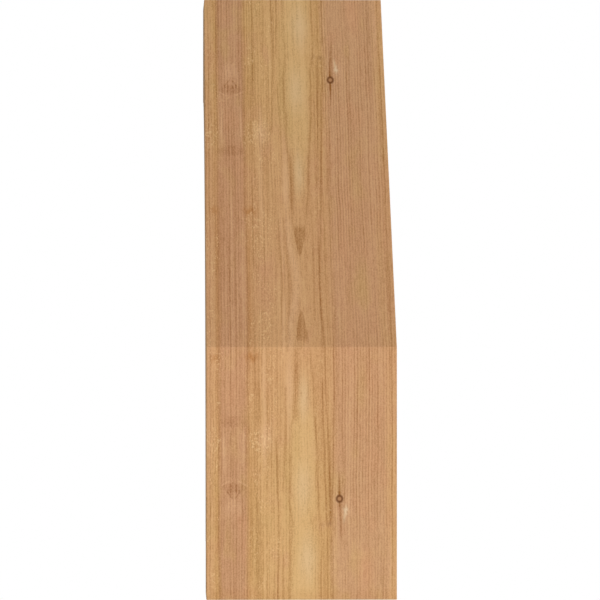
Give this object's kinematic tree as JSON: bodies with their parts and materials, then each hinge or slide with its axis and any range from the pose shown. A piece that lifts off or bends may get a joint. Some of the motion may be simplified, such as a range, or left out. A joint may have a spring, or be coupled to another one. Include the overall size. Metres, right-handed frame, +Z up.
{
  "type": "decorative wooden brace",
  "caption": "Solid timber brace with a flat wall seat, a straight sloping back, a level seat on top, and a hollow curved front between a square nose and a square toe.",
  "frame": {"origin": "centre of the flat face that meets the wall", "axes": "+X across the timber, +Y straight out from the wall, +Z up to the soffit, as it hangs in use"},
  "size_m": [0.1396, 0.4064, 0.4572],
  "materials": {
    "timber": "planed smooth, bare"
  },
  "bodies": {
    "root": {"brace": "timber"}
  },
  "joints": []
}
